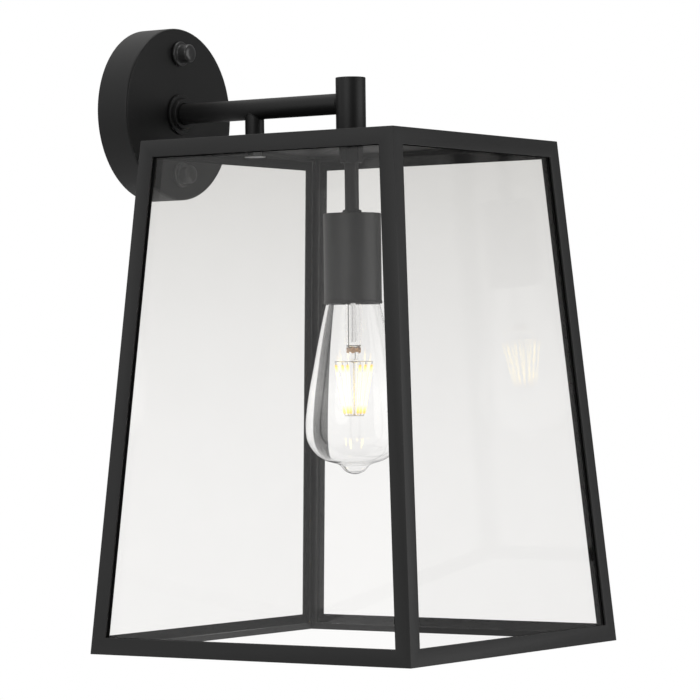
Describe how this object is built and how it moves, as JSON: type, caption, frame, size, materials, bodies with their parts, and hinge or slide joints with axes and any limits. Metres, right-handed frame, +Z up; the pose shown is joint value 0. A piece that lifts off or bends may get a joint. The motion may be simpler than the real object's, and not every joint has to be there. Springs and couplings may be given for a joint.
{
  "type": "outdoor wall lantern",
  "caption": "Tapered square glazed wall lantern, open below, hung from a short straight arm on a round canopy, with one filament bulb in a cup-shaped lampholder.",
  "frame": {"origin": "on the wall plane, in the middle of the round canopy, on the arm's axis", "axes": "+Y into the wall, so the lantern stands out along -Y; +Z up; +X along the wall, to the right seen from the front"},
  "size_m": [0.2512, 0.2931, 0.42],
  "materials": {
    "black_powder_coat": "satin black powder coat",
    "dark_grey_paint": "satin dark grey paint",
    "zinc_plate": "bright zinc plating",
    "brass": "plain brass",
    "nickel": "nickel plating",
    "window_glass": "clear flat glass",
    "bulb_clear_glass": "clear blown glass",
    "glazing_rubber": "black silicone",
    "foam": "black foam",
    "phenolic": "matt moulding",
    "nylon": "natural nylon",
    "filament_phosphor": "yellow phosphor over LED sticks",
    "lead_sheath": "black sheathed lead"
  },
  "bodies": {
    "lantern": {"canopy": "black_powder_coat", "wall_gasket": "foam", "wall_bracket": "zinc_plate", "stud_upper": "zinc_plate", "stud_lower": "zinc_plate", "earth_screw": "brass", "terminal_block": "nylon", "arm": "black_powder_coat", "arm_flange": "black_powder_coat", "arm_lock_nut": "zinc_plate", "post": "black_powder_coat", "post_cap": "black_powder_coat", "post_plug": "zinc_plate", "strut": "black_powder_coat", "strut_nut": "zinc_plate", "strut_screw": "zinc_plate", "top_plate": "black_powder_coat", "top_rail_front": "black_powder_coat", "bottom_rail_front": "black_powder_coat", "top_rail_right": "black_powder_coat", "bottom_rail_right": "black_powder_coat", "top_rail_back": "black_powder_coat", "bottom_rail_back": "black_powder_coat", "top_rail_left": "black_powder_coat", "bottom_rail_left": "black_powder_coat", "corner_post_front_left": "black_powder_coat", "corner_post_front_right": "black_powder_coat", "corner_post_back_right": "black_powder_coat", "corner_post_back_left": "black_powder_coat", "glass_front": "window_glass", "glazing_bead_front": "glazing_rubber", "glass_right": "window_glass", "glazing_bead_right": "glazing_rubber", "glass_back": "window_glass", "glazing_bead_back": "glazing_rubber", "glass_left": "window_glass", "glazing_bead_left": "glazing_rubber", "threaded_rod": "black_powder_coat", "coupling_nut": "black_powder_coat", "cup_nut": "black_powder_coat", "socket_cup": "dark_grey_paint", "lampholder": "phenolic", "socket_shell": "brass", "centre_contact": "brass", "lead": "lead_sheath"},
    "bulb": {"bulb_glass": "bulb_clear_glass", "bulb_cap": "nickel", "bulb_contact": "brass", "bulb_stem": "bulb_clear_glass", "filament_support": "nickel", "filament_1": "filament_phosphor", "filament_2": "filament_phosphor", "filament_3": "filament_phosphor", "filament_4": "filament_phosphor", "filament_5": "filament_phosphor", "filament_6": "filament_phosphor"},
    "cap_nut_upper": {"cap_nut_upper": "black_powder_coat"},
    "cap_nut_lower": {"cap_nut_lower": "black_powder_coat"}
  },
  "joints": [
    {"name": "bulb_withdraw", "type": "slide", "parent": "lantern", "child": "bulb", "axis": [0, 0, -1], "range_m": [0, 0.16]},
    {"name": "cap_nut_upper_off", "type": "slide", "parent": "lantern", "child": "cap_nut_upper", "axis": [0, -1, 0], "range_m": [0, 0.012]},
    {"name": "cap_nut_lower_off", "type": "slide", "parent": "lantern", "child": "cap_nut_lower", "axis": [0, -1, 0], "range_m": [0, 0.012]}
  ]
}
